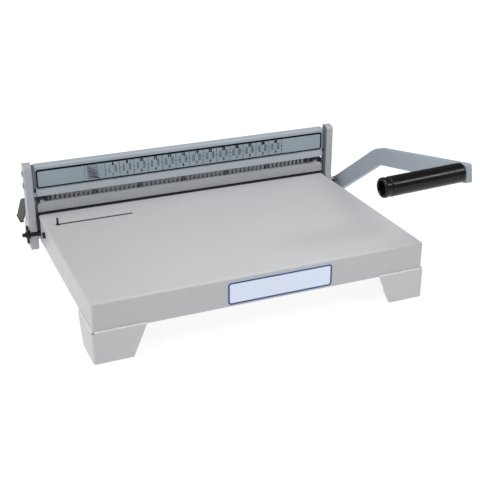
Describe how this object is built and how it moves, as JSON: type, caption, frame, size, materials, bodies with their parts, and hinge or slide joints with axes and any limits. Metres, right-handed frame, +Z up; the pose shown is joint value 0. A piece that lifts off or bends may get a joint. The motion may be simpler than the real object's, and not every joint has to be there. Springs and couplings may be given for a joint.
{
  "type": "manual binding punch",
  "caption": "Lever-operated desktop binding punch: sheet-metal feed table, slotted punch head with end posts, size chart bar, eccentric shaft and side handle with a sleeve grip",
  "frame": {"origin": "centre of the machine's footprint box, on the surface it stands on", "axes": "+X to the right, towards the lever; +Y from the front lip of the table to the rear legs; +Z up"},
  "size_m": [0.4906, 0.4988, 0.1822],
  "materials": {
    "table_paint": "satin light grey powder coat",
    "post_paint": "satin mid grey powder coat",
    "rail_paint": "satin blue-grey enamel",
    "dark_spacer": "dull blue-grey enamel",
    "bar_steel": "ground and brushed tool steel",
    "punch_steel": "ground tool steel",
    "chart_print": "printed size chart, satin laminate",
    "badge_print": "blank printed label, satin laminate",
    "leg_steel": "dull grey-brown plated steel",
    "lever_paint": "satin blue-grey enamel",
    "grip_black": "semi-gloss moulded grip",
    "zinc": "bright zinc plate",
    "black_oxide": "black oxide",
    "bronze": "sintered bronze",
    "pad_rubber": "matt rubber",
    "tray_paint": "satin dark grey enamel",
    "stop_black": "satin black",
    "shaft_steel": "turned and ground steel"
  },
  "bodies": {
    "frame": {"table_tray": "table_paint", "table_stiffener": "table_paint", "front_foot_left": "table_paint", "front_foot_right": "table_paint", "front_foot_pads": "pad_rubber", "front_badge": "badge_print", "post_left": "post_paint", "post_right": "post_paint", "shaft_bushes": "bronze", "top_bar": "rail_paint", "chart_plate": "chart_print", "end_spacers": "dark_spacer", "guide_bar": "bar_steel", "slot_spacer": "bar_steel", "die_bar": "bar_steel", "guide_bolts": "zinc", "frame_screws": "black_oxide", "return_springs": "black_oxide", "rear_leg_left": "leg_steel", "rear_leg_right": "leg_steel", "rear_leg_pads": "pad_rubber", "leg_screws": "black_oxide", "tray_hangers": "leg_steel", "clamp_brackets": "zinc", "clamp_studs": "black_oxide", "stud_nuts": "black_oxide", "clamp_washers": "black_oxide", "bracket_screws": "black_oxide", "clamp_pads": "pad_rubber"},
    "lever": {"eccentric_shaft": "shaft_steel", "shaft_collars": "zinc", "lever_hub": "lever_paint", "lever_arm": "lever_paint", "lever_nuts": "zinc", "grip_rod": "zinc"},
    "grip": {"grip_sleeve": "grip_black"},
    "punch_group": {"punch_beam": "rail_paint", "punches": "punch_steel", "guide_pins": "punch_steel", "pull_plate_left": "leg_steel", "pull_plate_right": "leg_steel", "pull_screws": "black_oxide"},
    "side_stop": {"stop_pin": "stop_black", "stop_knob": "stop_black"},
    "chip_drawer": {"chip_tray": "tray_paint"},
    "wing_left": {"wing_nut_left": "black_oxide"},
    "wing_right": {"wing_nut_right": "black_oxide"}
  },
  "joints": [
    {"name": "handle_turn", "type": "hinge", "parent": "frame", "child": "lever", "pos_m": [0.23275, 0.0719, 0.046], "axis": [1, 0, 0], "range_deg": [0, 24], "stiffness_Nm_per_rad": 2.5, "springref_deg": -51.57},
    {"name": "punch_stroke", "type": "slide", "parent": "frame", "child": "punch_group", "axis": [0, 0, -1], "range_m": [0, 0.0044], "deforming": ["return_springs"]},
    {"name": "grip_spin", "type": "hinge", "parent": "lever", "child": "grip", "pos_m": [0.17475, -0.2374, 0.16833], "axis": [0.9994, 0, 0.0358], "continuous": true},
    {"name": "side_stop_slide", "type": "slide", "parent": "frame", "child": "side_stop", "axis": [1, 0, 0], "range_m": [0, 0.095]},
    {"name": "chip_tray_slide", "type": "slide", "parent": "frame", "child": "chip_drawer", "axis": [0, 1, 0], "range_m": [0, 0.06]},
    {"name": "wing_left_turn", "type": "hinge", "parent": "frame", "child": "wing_left", "pos_m": [-0.23825, 0.0494, 0.0525], "axis": [1, 0, 0], "continuous": true},
    {"name": "wing_right_turn", "type": "hinge", "parent": "frame", "child": "wing_right", "pos_m": [0.21575, 0.0494, 0.0525], "axis": [1, 0, 0], "continuous": true}
  ],
  "couplings": [
    {"joint": "punch_stroke", "follows": "handle_turn", "m_per_rad": 0.010504}
  ]
}
